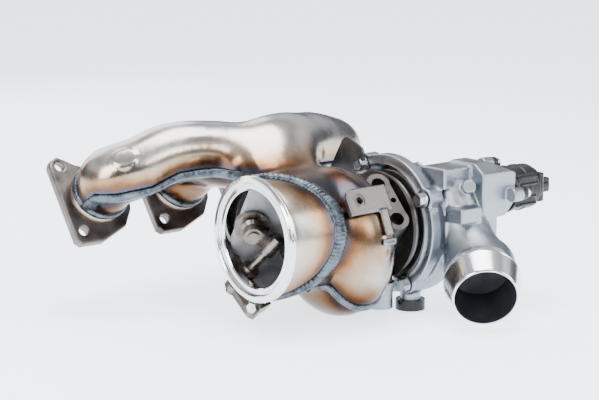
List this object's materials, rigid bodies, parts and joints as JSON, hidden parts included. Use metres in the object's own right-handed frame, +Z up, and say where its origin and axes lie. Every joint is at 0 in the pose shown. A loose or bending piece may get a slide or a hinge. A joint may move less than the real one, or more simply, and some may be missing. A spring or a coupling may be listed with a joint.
{
  "type": "turbocharger",
  "caption": "Exhaust turbocharger with a fabricated sheet-steel manifold, wastegate flap and linkage, cast compressor housing and an electric diverter valve.",
  "frame": {"origin": "centre of the turbine outlet collar's front face", "axes": "+X along the shaft from the turbine outlet to the compressor inlet, +Y to the cylinder head, +Z up as the unit lies on a bench"},
  "size_m": [0.376, 0.3154, 0.1676],
  "materials": {
    "steel_bright": "polished",
    "steel_sheet": "satin, heat tinted",
    "steel_tan": "satin, heat tinted tan",
    "steel_dark": "oxidised",
    "flange_steel": "heat tinted",
    "cast_dark": "as cast",
    "alu": "as cast, machined at the ends",
    "zinc": "zinc plated",
    "bronze": "machined",
    "copper": "wound wire",
    "black_plastic": "semi-gloss",
    "rubber": "matt",
    "black_paint": "semi-gloss"
  },
  "bodies": {
    "casing": {"outlet_collar": "steel_bright", "outlet_duct": "steel_tan", "turbine_shell_front": "steel_sheet", "turbine_shell_rear": "steel_tan", "turbine_shroud": "steel_dark", "wastegate_seat": "steel_dark", "manifold_upper_shell": "steel_sheet", "manifold_lower_shell": "steel_tan", "runner_necks": "steel_tan", "port_flange_1": "flange_steel", "port_flange_2": "flange_steel", "port_flange_3": "flange_steel", "port_flange_4": "flange_steel", "spindle_bush": "steel_dark", "centre_housing": "cast_dark", "turbine_heat_shield": "steel_dark", "journal_bearing": "bronze", "thrust_bearing": "bronze", "compressor_backplate": "steel_dark", "discharge_stub": "alu", "inlet_sleeve": "alu", "retaining_ring": "steel_bright", "compressor_housing": "alu", "compressor_bolts": "zinc", "shield_plate": "steel_dark", "support_bracket": "zinc", "bracket_clip": "zinc", "oil_drain_stub": "cast_dark", "port_cap": "black_plastic", "valve_body": "black_plastic", "valve_cap": "black_plastic", "valve_coil": "copper", "valve_spring": "zinc", "valve_screws": "zinc", "valve_seal": "rubber", "actuator_can": "black_paint", "actuator_cover": "black_paint", "actuator_bracket": "steel_dark", "actuator_bolts": "zinc", "actuator_spring": "zinc", "actuator_nipple": "zinc"},
    "rotor": {"turbine_wheel": "steel_dark", "turbine_shaft": "zinc", "turbine_piston_ring": "steel_dark", "thrust_collar": "zinc", "oil_slinger": "zinc", "compressor_wheel": "alu", "shaft_nut": "zinc"},
    "wastegate": {"wastegate_flap": "steel_dark", "flap_washer": "steel_dark", "wastegate_arm": "steel_dark", "wastegate_lever": "steel_dark", "lever_pin": "zinc"},
    "actuator_rod": {"actuator_rod": "zinc", "rod_swivel": "steel_dark", "rod_nuts": "zinc", "diaphragm_plate": "steel_dark"},
    "diverter_piston": {"valve_piston": "steel_dark", "valve_armature": "steel_dark"}
  },
  "joints": [
    {"name": "rotor_spin", "type": "hinge", "parent": "casing", "child": "rotor", "pos_m": [0, 0, -0.005], "axis": [1, 0, 0], "continuous": true},
    {"name": "wastegate_pivot", "type": "hinge", "parent": "casing", "child": "wastegate", "pos_m": [0.0293, 0.0082, -0.0098], "axis": [0.299, -0.613, 0.7314], "range_deg": [0, 30], "stiffness_Nm_per_rad": 1.6, "springref_deg": -17.19},
    {"name": "rod_slide", "type": "slide", "parent": "casing", "child": "actuator_rod", "axis": [0.8988, 0.4384, 0], "range_m": [0, 0.0146]},
    {"name": "diverter_piston_slide", "type": "slide", "parent": "casing", "child": "diverter_piston", "axis": [1, 0, 0], "range_m": [0, 0.008], "stiffness_N_per_m": 1500, "springref_m": -0.004}
  ],
  "couplings": [
    {"joint": "rod_slide", "follows": "wastegate_pivot", "m_per_rad": 0.02768}
  ]
}
